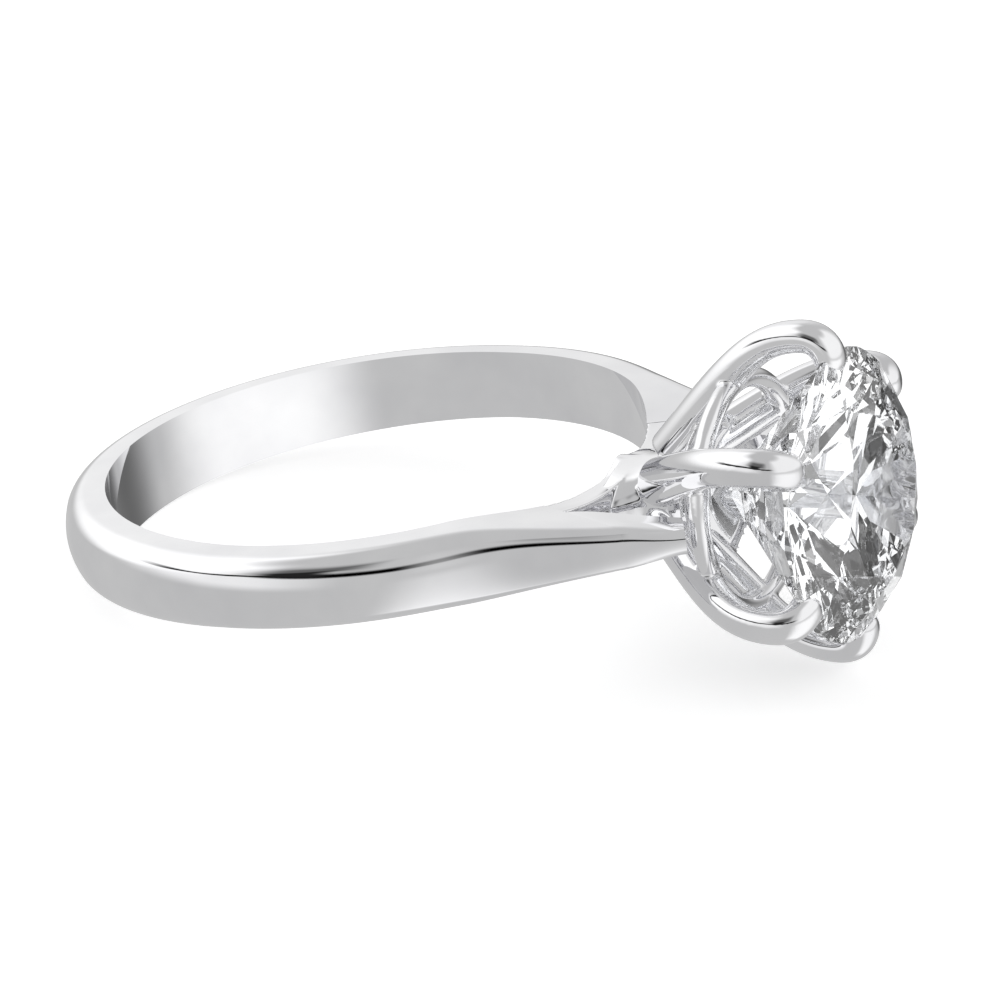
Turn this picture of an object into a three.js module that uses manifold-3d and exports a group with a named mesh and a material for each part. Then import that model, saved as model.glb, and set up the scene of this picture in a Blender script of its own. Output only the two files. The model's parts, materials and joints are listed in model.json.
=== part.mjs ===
// Six-prong cathedral solitaire engagement ring, lying on its side.
// The pieces are modelled upright about the finger hole (X towards the stone,
// Z along the finger, Y across) and then laid down so that the band and the
// lowest prong both touch the floor.
import * as THREE from 'three';
import Module from 'manifold-3d';

const wasm = await Module();
wasm.setup();
const { Manifold, Mesh } = wasm;

// ---------- driving dimensions, millimetres and degrees ----------
const fingerRadius = 8.25;
const solderSeam = 0.02;

// band
const bandThickness = 1.4;
const bandHalfWidthBack = 1.27;
const bandHalfWidthSide = 1.12;
const crownShare = 0.66;
const domeRise = 0.17;
const flatSideShare = 0.5;

// rail that closes the finger hole under the head
const railThickness = 0.95;
const railHalfWidth = 0.56;
const railFlare = 0.42;
const railFlareAngle = 4.4;
const shankEndAngle = 24;
const pinchStartAngle = 46;
const pinchEndAngle = 14;

// stone
const stoneRadius = 4.18;
const girdleHeight = fingerRadius + 7.15;
const tableShare = 0.58;
const crownAngle = 30;
const pavilionAngle = 40.8;
const girdleThickness = 0.2;
const starShare = 0.5;
const lowerHalfShare = 0.78;
const girdleSides = 64;

// head
const prongCount = 6;
const prongHalfDepth = 0.46;
const prongHalfWidth = 0.52;
const prongRootShare = 0.86;
const prongStandoff = 0.52;
const clawOverlap = 0.1;
const clawRise = -0.02;
const stemHeight = 1.15;
const stemFootRadius = 1.3;
const stemTopRadius = 2.15;
const stemDish = 0.3;
const prongRootInset = 0.85;

// gallery ring and cathedral shoulders
const galleryHeight = girdleHeight - 3.05;
const galleryWireRadius = 0.3;
const shoulderEndDepth = 0.85;
const shoulderEndHalfWidth = 0.46;
const shoulderDip = 0.25;

// ---------- small helpers ----------
const bandOuterRadius = fingerRadius + bandThickness;
const railOuterRadius = fingerRadius + railThickness;
const radians = THREE.MathUtils.degToRad;
const mix = THREE.MathUtils.lerp;

function solidFromTriangles(points, triangles) {
  const positions = new Float32Array(points.length * 3);
  points.forEach((point, index) => point.toArray(positions, index * 3));
  let volume = 0;
  for (const [a, b, c] of triangles) {
    volume += points[a].dot(new THREE.Vector3().crossVectors(points[b], points[c]));
  }
  const outward = volume > 0 ? triangles : triangles.map(([a, b, c]) => [a, c, b]);
  return new Manifold(new Mesh({
    numProp: 3,
    vertProperties: positions,
    triVerts: new Uint32Array(outward.flat()),
  }));
}

// Skins a run of equal-sized loops and closes both ends with a fan.
function loft(loops) {
  const size = loops[0].length;
  const points = loops.flat();
  const triangles = [];
  for (let row = 0; row + 1 < loops.length; row += 1) {
    for (let k = 0; k < size; k += 1) {
      const a = row * size + k;
      const b = row * size + (k + 1) % size;
      triangles.push([a, b, b + size], [a, b + size, a + size]);
    }
  }
  for (const [row, flip] of [[0, true], [loops.length - 1, false]]) {
    const middle = new THREE.Vector3();
    loops[row].forEach((point) => middle.add(point));
    middle.divideScalar(size);
    const centre = points.push(middle) - 1;
    for (let k = 0; k < size; k += 1) {
      const a = row * size + k;
      const b = row * size + (k + 1) % size;
      triangles.push(flip ? [centre, b, a] : [centre, a, b]);
    }
  }
  return solidFromTriangles(points, triangles);
}

// Turns a closed (height, radius) outline about the head axis X.
function turned(outline, segments) {
  const shape = outline.map(([height, radius]) => new THREE.Vector2(radius, height));
  if (THREE.ShapeUtils.isClockWise(shape)) {
    shape.reverse();
  }
  const points = shape.map((point) => point.toArray());
  return Manifold.revolve([points], segments).rotate([0, 90, 0]);
}

function largestPiece(solid) {
  const pieces = solid.decompose();
  pieces.sort((a, b) => b.volume() - a.volume());
  return pieces[0];
}

function smooth(value) {
  const t = THREE.MathUtils.clamp(value, 0, 1);
  return t * t * (3 - 2 * t);
}

// ---------- prongs ----------
const stemFootHeight = railOuterRadius;
const stemTopHeight = stemFootHeight + stemHeight;
const prongReach = stoneRadius + prongStandoff;

function prongPath() {
  const root = new THREE.Vector2(stemTopHeight - 0.45, stemTopRadius - prongRootInset);
  const bulge = new THREE.Vector2(girdleHeight - 0.8, prongReach);
  const tip = new THREE.Vector2(girdleHeight + clawRise, stoneRadius - clawOverlap);
  const span = bulge.x - root.x;
  const sweep = new THREE.CubicBezierCurve(
    root,
    new THREE.Vector2(root.x + span * 0.45, root.y + span * 0.46),
    new THREE.Vector2(bulge.x - span * 0.34, bulge.y),
    bulge,
  );
  const claw = new THREE.CubicBezierCurve(
    bulge,
    new THREE.Vector2(mix(bulge.x, tip.x, 0.55), bulge.y),
    new THREE.Vector2(mix(bulge.x, tip.x, 0.9), mix(bulge.y, tip.y, 0.35)),
    tip,
  );
  return [...sweep.getPoints(14), ...claw.getPoints(7).slice(1)];
}

function pathRadiusAt(height) {
  const path = prongPath();
  const next = path.findIndex((point) => point.x >= height);
  const a = path[next - 1];
  const b = path[next];
  return mix(a.y, b.y, (height - a.x) / (b.x - a.x));
}

// One prong in the plane of the head axis, closed by a rounded claw tip.
function prong(angle) {
  const path = prongPath();
  const outward = new THREE.Vector3(0, -Math.sin(angle), Math.cos(angle));
  const sideways = new THREE.Vector3(0, Math.cos(angle), Math.sin(angle));
  const place = (point) => outward.clone().multiplyScalar(point.y).setX(point.x);
  const stations = path.map((point, index) => {
    const before = path[Math.max(index - 1, 0)];
    const after = path[Math.min(index + 1, path.length - 1)];
    const along = after.clone().sub(before).normalize();
    const size = mix(prongRootShare, 1, smooth(index / (path.length * 0.6)));
    return { point, along, size };
  });
  const last = stations[stations.length - 1];
  for (const turn of [20, 40, 58, 74]) {
    const reach = Math.sin(radians(turn)) * prongHalfDepth;
    const point = last.point.clone().addScaledVector(last.along, reach);
    stations.push({ point, along: last.along, size: Math.cos(radians(turn)) });
  }
  const sides = 16;
  const loops = stations.map(({ point, along, size }) => {
    const across = outward.clone().multiplyScalar(along.x).setX(-along.y);
    const centre = place(point);
    return Array.from({ length: sides }, (_, k) => {
      const turn = (2 * Math.PI * k) / sides;
      return centre.clone()
        .addScaledVector(across, prongHalfDepth * size * Math.cos(turn))
        .addScaledVector(sideways, prongHalfWidth * size * Math.sin(turn));
    });
  });
  return loft(loops);
}

// ---------- band, rail and shoulders ----------
// Section from an inner to an outer point of the plan: flat finger face, flat
// sides, rounded bevels up to two edges and a gentle dome between them.
function bandSection(inner, outer, innerHalf, outerHalf, rise) {
  const depth = inner.distanceTo(outer);
  const bevel = depth * flatSideShare;
  const edge = depth - rise;
  const half = [[0, innerHalf]];
  for (const share of [0, 0.3, 0.6, 0.85, 1]) {
    const drop = 1 - Math.cos(share * Math.PI * 0.5);
    half.push([
      mix(bevel, edge, Math.sin(share * Math.PI * 0.42) / Math.sin(Math.PI * 0.42)),
      mix(innerHalf * 0.985, outerHalf, drop),
    ]);
  }
  for (const share of [0.72, 0.4]) {
    half.push([depth - rise * share * share, outerHalf * share]);
  }
  const mirrored = half.map(([along, up]) => [along, -up]).reverse();
  const outline = [[0, 0], ...half, [depth, 0], ...mirrored];
  const direction = outer.clone().sub(inner).normalize();
  return outline.map(([along, up]) => new THREE.Vector3(
    inner.x + direction.x * along,
    inner.y + direction.y * along,
    up,
  ));
}

const polar = (radius, degrees) => new THREE.Vector2(
  radius * Math.cos(radians(degrees)),
  radius * Math.sin(radians(degrees)),
);

function innerHalfWidth(degrees) {
  const back = Math.max(0, -Math.cos(radians(degrees)));
  const body = mix(bandHalfWidthSide, bandHalfWidthBack, back);
  const open = (Math.abs(degrees) - pinchEndAngle) / (pinchStartAngle - pinchEndAngle);
  return mix(railHalfWidth, body, smooth(open));
}

const outerHalfWidth = (degrees) => {
  const near = smooth((60 - Math.abs(degrees)) / 36);
  return innerHalfWidth(degrees) * mix(crownShare, 0.74, near);
};

// The shoulders leave the round of the band and sweep in a shallow hollow to
// the gallery ring, between two prongs.
const galleryRadius = pathRadiusAt(galleryHeight) - prongHalfDepth;
const shoulderTip = new THREE.Vector2(
  galleryHeight - galleryWireRadius * 0.35,
  galleryRadius + galleryWireRadius + 0.42,
);
const tipAngle = Math.atan2(shoulderTip.y, shoulderTip.x);
const tangentAngle = THREE.MathUtils.radToDeg(
  tipAngle + Math.acos(bandOuterRadius / shoulderTip.length()),
);

function outerRadius(degrees) {
  const past = tangentAngle - Math.abs(degrees);
  if (past <= 0) {
    return bandOuterRadius;
  }
  const share = Math.min(past / (tangentAngle - THREE.MathUtils.radToDeg(tipAngle)), 1);
  const dip = shoulderDip * Math.sin(Math.PI * share) ** 2;
  return bandOuterRadius / Math.cos(radians(past)) - dip;
}

function shank() {
  const loops = [];
  const steps = 84;
  for (let k = 0; k <= steps; k += 1) {
    const degrees = mix(shankEndAngle, 360 - shankEndAngle, k / steps);
    const folded = Math.min(degrees, 360 - degrees);
    loops.push(bandSection(
      polar(fingerRadius, degrees),
      polar(outerRadius(folded), degrees),
      innerHalfWidth(folded),
      outerHalfWidth(folded),
      domeRise,
    ));
  }
  return loft(loops);
}

function seamAngle(radius) {
  return THREE.MathUtils.radToDeg(solderSeam / radius);
}

function fingerRail() {
  const loops = [];
  const steps = 32;
  const end = shankEndAngle - seamAngle(fingerRadius);
  for (let k = 0; k <= steps; k += 1) {
    const share = (2 * k) / steps - 1;
    const degrees = end * Math.sign(share) * Math.abs(share) ** 1.4;
    const flare = Math.exp(-((degrees / railFlareAngle) ** 2));
    const half = innerHalfWidth(Math.abs(degrees));
    loops.push(bandSection(
      polar(fingerRadius, degrees),
      polar(railOuterRadius, degrees),
      half + railFlare * flare,
      half * 0.86 + railFlare * 1.5 * flare,
      domeRise * 0.4,
    ));
  }
  return loft(loops);
}

function shoulder(side) {
  const startInner = polar(railOuterRadius + 0.08, shankEndAngle);
  const startOuter = polar(outerRadius(shankEndAngle), shankEndAngle);
  const run = shoulderTip.clone().sub(startOuter).normalize();
  const across = new THREE.Vector2(run.y, -run.x);
  const endInner = shoulderTip.clone().addScaledVector(across, shoulderEndDepth);
  const inside = new THREE.QuadraticBezierCurve(
    startInner,
    new THREE.Vector2(mix(startInner.x, endInner.x, 0.3), endInner.y + 0.05),
    endInner,
  );
  const startAngle = shankEndAngle;
  const steps = 12;
  const loops = [];
  for (let k = 0; k <= steps; k += 1) {
    const share = k / steps;
    const inner = inside.getPoint(share);
    const degrees = mix(shankEndAngle, THREE.MathUtils.radToDeg(tipAngle), share);
    const outer = polar(outerRadius(degrees), degrees);
    loops.push(bandSection(
      inner,
      outer,
      mix(innerHalfWidth(startAngle), shoulderEndHalfWidth, smooth(share)),
      mix(outerHalfWidth(startAngle), shoulderEndHalfWidth * 0.8, smooth(share)),
      domeRise,
    ));
  }
  const turn = radians(shankEndAngle);
  const solid = loft(loops).translate([
    Math.sin(turn) * solderSeam,
    -Math.cos(turn) * solderSeam,
    0,
  ]);
  return side > 0 ? solid : solid.mirror([0, 1, 0]);
}

// ---------- head base and gallery ring ----------
function headStem(grow) {
  const foot = stemFootHeight - 0.5;
  const outline = [[foot, 0]];
  const steps = 8;
  for (let k = 0; k <= steps; k += 1) {
    const share = k / steps;
    outline.push([
      mix(foot, stemTopHeight, share) + (k === steps ? grow : 0),
      mix(stemFootRadius, stemTopRadius, share ** 1.8) + grow,
    ]);
  }
  outline.push([stemTopHeight + grow, stemTopRadius - 0.3 + grow]);
  for (const share of [0.7, 0.4, 0]) {
    const dish = stemDish * (1 - share * share);
    outline.push([stemTopHeight - dish + grow, (stemTopRadius - 0.3) * share]);
  }
  return turned(outline, 48);
}

function galleryRing(grow) {
  const sides = 12;
  const wire = Array.from({ length: sides }, (_, k) => {
    const turn = (2 * Math.PI * k) / sides;
    return [
      galleryHeight + (galleryWireRadius + grow) * Math.cos(turn),
      galleryRadius + (galleryWireRadius + grow) * Math.sin(turn),
    ];
  });
  return turned(wire, 48);
}

// ---------- stone ----------
// A round brilliant: a girdle cylinder with every facet cut as a plane.
function brilliant(grow) {
  const radius = stoneRadius + grow;
  const crownRise = (1 - tableShare) * radius * Math.tan(radians(crownAngle));
  const pavilionDrop = radius * Math.tan(radians(pavilionAngle));
  const half = girdleThickness / 2 + grow;
  const at = (distance, degrees, height) => new THREE.Vector3(
    height,
    distance * Math.cos(radians(degrees)),
    distance * Math.sin(radians(degrees)),
  );
  const mainDistance = (height, angle) => radius - height / Math.tan(radians(angle));
  const halfTurn = Math.cos(radians(22.5));
  let stone = Manifold.cylinder(
    crownRise + pavilionDrop + 4 * half,
    radius,
    radius,
    girdleSides,
  ).translate([0, 0, -pavilionDrop - 2 * half]).rotate([0, 90, 0]);
  const cut = (a, b, c) => {
    const plane = new THREE.Plane().setFromCoplanarPoints(a, b, c);
    if (plane.distanceToPoint(new THREE.Vector3(0, 0, 0)) < 0) {
      plane.negate();
    }
    stone = stone.trimByPlane(plane.normal.toArray(), -plane.constant);
  };
  const tableHeight = half + crownRise;
  stone = stone.trimByPlane([-1, 0, 0], -tableHeight);
  const tableRadius = tableShare * radius;
  const starRadius = mix(tableRadius * halfTurn, radius, starShare);
  const starHeight = half + (radius - starRadius * halfTurn) * Math.tan(radians(crownAngle));
  const lowerDepth = pavilionDrop * lowerHalfShare;
  const lowerRadius = mainDistance(lowerDepth, pavilionAngle) / halfTurn;
  for (let k = 0; k < 8; k += 1) {
    const main = 45 * k;
    const between = main + 22.5;
    const star = at(starRadius, between, starHeight);
    const low = at(lowerRadius, between, -half - lowerDepth);
    const table = at(tableRadius, main, tableHeight);
    const nextTable = at(tableRadius, main + 45, tableHeight);
    const lastStar = at(starRadius, main - 22.5, starHeight);
    cut(table, lastStar, star);
    cut(table, nextTable, star);
    cut(at(radius, main, half), at(radius, between, half), star);
    cut(at(radius, main + 45, half), at(radius, between, half), star);
    const rim = at(radius, main, -half);
    cut(rim, rim.clone().add(at(1, main + 90, 0)), at(0, 0, -half - pavilionDrop));
    cut(at(radius, main, -half), at(radius, between, -half), low);
    cut(at(radius, main + 45, -half), at(radius, between, -half), low);
  }
  return stone.translate([girdleHeight, 0, 0]);
}

// ---------- assembly ----------
const metal = () => new THREE.MeshStandardMaterial({
  name: 'polished_white_gold',
  color: 0xdcdcde,
  metalness: 1,
  roughness: 0.12,
});
const diamond = () => new THREE.MeshStandardMaterial({
  name: 'diamond',
  color: 0xf4f7fb,
  metalness: 0,
  roughness: 0.02,
});

const stoneSpace = brilliant(solderSeam);
const stemSpace = headStem(solderSeam);
const gallerySpace = galleryRing(solderSeam);
const footSpace = Manifold.cylinder(
  8,
  railOuterRadius + solderSeam,
  railOuterRadius + solderSeam,
  180,
  true,
);

const stem = largestPiece(headStem(0).subtract(footSpace));
const prongSpaces = [];
const pieces = [];
pieces.push(['shank', shank()]);
pieces.push(['finger_rail', fingerRail()]);
pieces.push(['head_stem', stem]);
for (let k = 0; k < prongCount; k += 1) {
  const raw = prong((2 * Math.PI * k) / prongCount);
  prongSpaces.push(raw);
  const fitted = raw.subtract(stoneSpace).subtract(stemSpace)
    .subtract(gallerySpace).subtract(footSpace);
  pieces.push([`prong_${k + 1}`, largestPiece(fitted)]);
}
pieces.push(['gallery_ring', galleryRing(0)]);
for (const [name, side] of [['shoulder_left', 1], ['shoulder_right', -1]]) {
  let arm = shoulder(side).subtract(gallerySpace).subtract(stemSpace);
  for (const space of prongSpaces) {
    arm = arm.subtract(space);
  }
  pieces.push([name, largestPiece(arm)]);
}
pieces.push(['centre_stone', brilliant(0)]);

function geometryOf(solid) {
  const mesh = solid.getMesh();
  const geometry = new THREE.BufferGeometry();
  const positions = new THREE.BufferAttribute(new Float32Array(mesh.vertProperties), 3);
  geometry.setAttribute('position', positions);
  geometry.setIndex(new THREE.BufferAttribute(new Uint32Array(mesh.triVerts), 1));
  geometry.computeVertexNormals();
  return geometry;
}

function lowestPoint(geometries, tilt) {
  const spin = new THREE.Matrix4().makeRotationY(-tilt);
  const point = new THREE.Vector3();
  let lowest = Infinity;
  for (const geometry of geometries) {
    const positions = geometry.getAttribute('position');
    for (let k = 0; k < positions.count; k += 1) {
      point.fromBufferAttribute(positions, k).applyMatrix4(spin);
      lowest = Math.min(lowest, point.z);
    }
  }
  return lowest;
}

// Leans the ring back until band and head stand on the same floor.
function restingTilt(band, head) {
  let low = 0;
  let high = radians(30);
  for (let k = 0; k < 40; k += 1) {
    const tilt = (low + high) / 2;
    if (lowestPoint(head, tilt) < lowestPoint(band, tilt)) {
      low = tilt;
    } else {
      high = tilt;
    }
  }
  return low;
}

const geometries = new Map(pieces.map(([name, solid]) => [name, geometryOf(solid)]));
const headNames = pieces.map(([name]) => name).filter((name) => name.startsWith('prong'));
const tilt = restingTilt(
  [geometries.get('shank')],
  headNames.map((name) => geometries.get(name)),
);
const lay = new THREE.Matrix4().makeRotationY(-tilt);
const bounds = new THREE.Box3();
for (const geometry of geometries.values()) {
  geometry.applyMatrix4(lay);
  geometry.computeBoundingBox();
  bounds.union(geometry.boundingBox);
}
const drop = new THREE.Matrix4().makeTranslation(
  -(bounds.min.x + bounds.max.x) / 2,
  -(bounds.min.y + bounds.max.y) / 2,
  -bounds.min.z,
);

const ring = new THREE.Group();
ring.name = 'engagement_ring';
for (const [name, geometry] of geometries) {
  geometry.applyMatrix4(drop);
  const mesh = new THREE.Mesh(geometry, name === 'centre_stone' ? diamond() : metal());
  mesh.name = name;
  ring.add(mesh);
}

export default ring;
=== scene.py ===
"""Looks for a six-prong cathedral solitaire engagement ring that lies on its side.

Every shape is worked out upright about the finger hole, in millimetres: +X runs
to the stone, +Z along the finger and +Y across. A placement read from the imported
record then lays the ring down in the frame's own metres.
"""

import json
import logging
import math
from dataclasses import dataclass
from enum import Enum

import bmesh
import bpy
import numpy as np
from mathutils import Matrix, Vector


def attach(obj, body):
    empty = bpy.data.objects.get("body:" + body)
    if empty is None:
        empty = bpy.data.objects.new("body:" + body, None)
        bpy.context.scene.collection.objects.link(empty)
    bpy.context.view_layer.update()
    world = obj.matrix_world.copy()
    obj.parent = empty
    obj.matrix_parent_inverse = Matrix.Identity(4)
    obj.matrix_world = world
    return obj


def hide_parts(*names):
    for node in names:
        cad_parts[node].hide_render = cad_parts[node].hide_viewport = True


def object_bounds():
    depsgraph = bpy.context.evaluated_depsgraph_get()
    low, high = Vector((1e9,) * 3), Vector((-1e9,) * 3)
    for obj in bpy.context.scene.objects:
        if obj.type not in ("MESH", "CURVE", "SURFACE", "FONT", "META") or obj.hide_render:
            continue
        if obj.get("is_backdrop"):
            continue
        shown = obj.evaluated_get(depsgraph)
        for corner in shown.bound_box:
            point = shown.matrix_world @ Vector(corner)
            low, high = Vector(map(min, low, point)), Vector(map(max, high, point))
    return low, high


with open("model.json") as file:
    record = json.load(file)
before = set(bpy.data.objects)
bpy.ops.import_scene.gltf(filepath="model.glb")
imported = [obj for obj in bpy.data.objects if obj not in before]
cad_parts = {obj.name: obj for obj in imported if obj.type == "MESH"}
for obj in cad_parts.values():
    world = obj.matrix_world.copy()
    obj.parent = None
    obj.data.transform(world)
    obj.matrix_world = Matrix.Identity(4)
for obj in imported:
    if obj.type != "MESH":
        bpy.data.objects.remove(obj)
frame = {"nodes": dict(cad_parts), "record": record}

LOG = logging.getLogger("solitaire")
MM = 0.001


# ---------- dimensions


@dataclass(frozen=True)
class BandSize:
    """Sizes of the band and of the rail under the head, in millimetres and degrees."""

    finger_radius: float = 8.25
    thickness: float = 1.4
    half_width_back: float = 1.27
    half_width_side: float = 1.12
    crown_share: float = 0.66
    crown_share_at_head: float = 0.74
    crown_change_end: float = 60.0
    crown_change_span: float = 36.0
    dome_rise: float = 0.17
    bevel_length: float = 0.62
    rail_dome_share: float = 0.4
    rail_overlap: float = 1.0
    rail_thickness: float = 0.95
    rail_half_width: float = 0.56
    rail_flare: float = 0.42
    rail_flare_angle: float = 4.4
    rail_crown_flare: float = 0.4
    rail_crown_angle: float = 11.0
    shank_end: float = 24.0
    pinch_start: float = 46.0
    pinch_end: float = 14.0

    @property
    def outer_radius(self) -> float:
        """Radius of the band's outer face away from the head."""
        return self.finger_radius + self.thickness

    @property
    def rail_outer_radius(self) -> float:
        """Radius of the outer face of the rail under the head."""
        return self.finger_radius + self.rail_thickness


@dataclass(frozen=True)
class StoneSize:
    """Sizes of the round brilliant, in millimetres and degrees."""

    radius: float = 4.18
    girdle_height: float = BandSize.finger_radius + 7.15
    table_share: float = 0.58
    crown_angle: float = 30.0
    girdle_thickness: float = 0.2

    @property
    def table_height(self) -> float:
        """Height of the table above the finger hole's centre."""
        rise = (1 - self.table_share) * self.radius
        return self.girdle_height + self.girdle_thickness / 2 + rise * math.tan(
            math.radians(self.crown_angle)
        )


@dataclass(frozen=True)
class HeadSize:
    """Sizes of the prongs, stem, gallery ring and shoulders, in millimetres."""

    prongs: int = 6
    half_depth: float = 0.46
    half_width: float = 0.54
    root_share: float = 1.3
    standoff: float = 0.52
    claw_overlap: float = 0.1
    claw_rise: float = -0.02
    root_inset: float = 0.85
    root_sink: float = 0.45
    root_taper: float = 0.6
    root_pull: tuple = (0.45, 0.46)
    bulge_drop: float = 0.8
    bulge_pull: float = 0.34
    claw_leave: tuple = (0.55, 0.0)
    claw_arrive: tuple = (0.9, 0.35)
    sweep_share: float = 0.72
    stem_height: float = 1.15
    stem_top_radius: float = 2.15
    stem_profile: tuple = (
        (8.5, 0.93, 1.9),
        (8.95, 0.95, 2.1),
        (9.4, 1.02, 1.85),
        (9.9, 1.16, 1.55),
        (10.4, 1.42, 1.58),
        (10.9, 1.85, 1.9),
        (11.35, 2.35, 2.38),
    )
    stem_dish: float = 0.75
    stem_rim: float = 0.3
    dish_hub: float = 0.02
    gallery_drop: float = 3.05
    gallery_wire: float = 0.3
    shoulder_end_depth: float = 0.85
    shoulder_end_half_width: float = 0.46
    shoulder_dip: float = 0.25
    shoulder_end_crown: float = 0.8
    shoulder_gap: float = 0.08
    shoulder_bend_share: float = 0.3
    shoulder_bend_rise: float = 0.05
    shoulder_tip_share: float = 0.35
    shoulder_tip_reach: float = 0.42


# ---------- numbers


def smooth_step(value: np.ndarray) -> np.ndarray:
    """Eases a share from 0 to 1 with flat ends.

    Args:
        value: Shares, clipped to the range 0 to 1.

    Returns:
        3t^2 - 2t^3 of each share.
    """
    t = np.clip(value, 0.0, 1.0)
    return t * t * (3.0 - 2.0 * t)


def bezier(points: list, shares: np.ndarray) -> np.ndarray:
    """Samples a Bezier curve of any degree by repeated blending.

    Args:
        points: Control points, each a pair of numbers.
        shares: Places along the curve, 0 to 1.

    Returns:
        One row for each share.
    """
    rows = [np.tile(np.asarray(p, float), (len(shares), 1)) for p in points]
    t = shares[:, None]
    while len(rows) > 1:
        rows = [a + (b - a) * t for a, b in zip(rows, rows[1:])]
    return rows[0]


def smooth_curve(points: np.ndarray, places: np.ndarray) -> np.ndarray:
    """Runs a smooth curve through points, with slopes taken from their neighbours.

    Between two points the curve is the cubic whose slope at each point is half
    the step from the point before it to the point after it.

    Args:
        points: Rows to pass through.
        places: Places along the curve, counted in points from 0.

    Returns:
        One row for each place.
    """
    padded = np.vstack([2 * points[0] - points[1], points, 2 * points[-1] - points[-2]])
    first = np.minimum(places.astype(int), len(points) - 2)
    t = (places - first)[:, None]
    before, start, end, after = (padded[first + k] for k in range(4))
    into, out = (end - before) / 2, (after - start) / 2
    rise = end - start
    return start + into * t + (3 * rise - 2 * into - out) * t**2 + (into + out - 2 * rise) * t**3


def polar(radius: np.ndarray, degrees: np.ndarray) -> np.ndarray:
    """Turns radius and angle into plan coordinates.

    Args:
        radius: Distance from the finger hole's centre.
        degrees: Angle from the head.

    Returns:
        Array of x, y rows.
    """
    turn = np.radians(degrees)
    return np.stack([radius * np.cos(turn), radius * np.sin(turn)], axis=-1)


class Placement:
    """Lays shapes made about the finger hole down into the frame, in metres."""

    def __init__(self, record: dict, table_height: float) -> None:
        """Reads the head's direction and place from the stone's mount.

        Args:
            record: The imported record.
            table_height: Height of the table above the hole's centre, in mm.
        """
        mount = next(m for m in record["mounts"] if m["name"] == "stone_table")
        self.axis = Vector(mount["axis"]).normalized()
        self.centre = Vector(mount["pos_m"]) - self.axis * table_height * MM
        tilt = math.atan2(self.axis.z, self.axis.x)
        self.matrix = (
            Matrix.Translation(self.centre)
            @ Matrix.Rotation(-tilt, 4, "Y")
            @ Matrix.Scale(MM, 4)
        )

    def lay(self, points: np.ndarray) -> np.ndarray:
        """Moves points from the upright ring to the frame.

        Args:
            points: Rows of x, y, z in millimetres.

        Returns:
            Rows of x, y, z in metres.
        """
        turn = np.array(self.matrix)
        return points @ turn[:3, :3].T + turn[:3, 3]


# ---------- meshes


def quad_faces(rows: int, columns: int, closed: bool) -> np.ndarray:
    """Lists the quads between neighbouring loops of points.

    Quad (r, c) joins points c and c + 1 of loop r to the same points of loop
    r + 1, and columns always wrap round.

    Args:
        rows: Number of loops.
        columns: Points in each loop.
        closed: Whether the last loop joins the first.

    Returns:
        Rows of four indices.
    """
    row, column = np.meshgrid(
        np.arange(rows if closed else rows - 1), np.arange(columns), indexing="ij"
    )
    here, above = row * columns, (row + 1) % rows * columns
    onward = (column + 1) % columns
    quads = [here + column, here + onward, above + onward, above + column]
    return np.stack(quads, axis=-1).reshape(-1, 4)


class Skin:
    """Points and faces gathered from several closed tubes."""

    def __init__(self) -> None:
        """Starts empty."""
        self.points: list[np.ndarray] = []
        self.faces: list[np.ndarray] = []
        self.count = 0

    def _add(self, points: np.ndarray, faces: list[np.ndarray]) -> None:
        """Adds points, and faces that number them from 0.

        Args:
            points: Rows of x, y, z.
            faces: Arrays of indices.
        """
        self.points.append(points)
        self.faces.extend(face + self.count for face in faces)
        self.count += len(points)

    def tube(self, loops: np.ndarray) -> None:
        """Adds a run of loops with a fan of triangles over both ends.

        Args:
            loops: Array of loops by points by 3.
        """
        rows, columns, _ = loops.shape
        ends = np.stack([loops[0].mean(axis=0), loops[-1].mean(axis=0)])
        around = np.arange(columns)
        onward = (around + 1) % columns
        size = rows * columns
        first = np.stack([np.full(columns, size), onward, around], axis=1)
        last = np.stack([np.full(columns, size + 1), around, onward], axis=1)
        last[:, 1:] += size - columns
        points = np.vstack([loops.reshape(-1, 3), ends])
        self._add(points, [quad_faces(rows, columns, closed=False), first, last])

    def ring(self, loops: np.ndarray) -> None:
        """Adds a tube whose last loop joins its first.

        Args:
            loops: Array of loops by points by 3.
        """
        rows, columns, _ = loops.shape
        self._add(loops.reshape(-1, 3), [quad_faces(rows, columns, closed=True)])

    def mesh(self, name: str) -> bpy.types.Mesh:
        """Makes a mesh with its faces turned outward.

        Args:
            name: Mesh name.

        Returns:
            The new mesh.
        """
        mesh = bpy.data.meshes.new(name)
        faces = [face for group in self.faces for face in group.tolist()]
        mesh.from_pydata(np.vstack(self.points), [], faces)
        work = bmesh.new()
        work.from_mesh(mesh)
        bmesh.ops.recalc_face_normals(work, faces=work.faces)
        work.to_mesh(mesh)
        work.free()
        return mesh


def coordinates(mesh: bpy.types.Mesh) -> np.ndarray:
    """Reads a mesh's points.

    Args:
        mesh: The mesh to read.

    Returns:
        Rows of x, y, z.
    """
    flat = np.empty(len(mesh.vertices) * 3)
    mesh.vertices.foreach_get("co", flat)
    return flat.reshape(-1, 3)


def set_coordinates(mesh: bpy.types.Mesh, points: np.ndarray) -> None:
    """Writes a mesh's points.

    Args:
        mesh: The mesh to change.
        points: Rows of x, y, z.
    """
    mesh.vertices.foreach_set("co", np.ascontiguousarray(points).ravel())
    mesh.update()


def shade(mesh: bpy.types.Mesh, sharp_degrees: float) -> None:
    """Shades a mesh smooth, with edges over an angle kept sharp.

    Args:
        mesh: The mesh to shade.
        sharp_degrees: Smallest angle of a sharp edge.
    """
    mesh.shade_smooth()
    mesh.set_sharp_from_angle(angle=math.radians(sharp_degrees))


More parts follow.
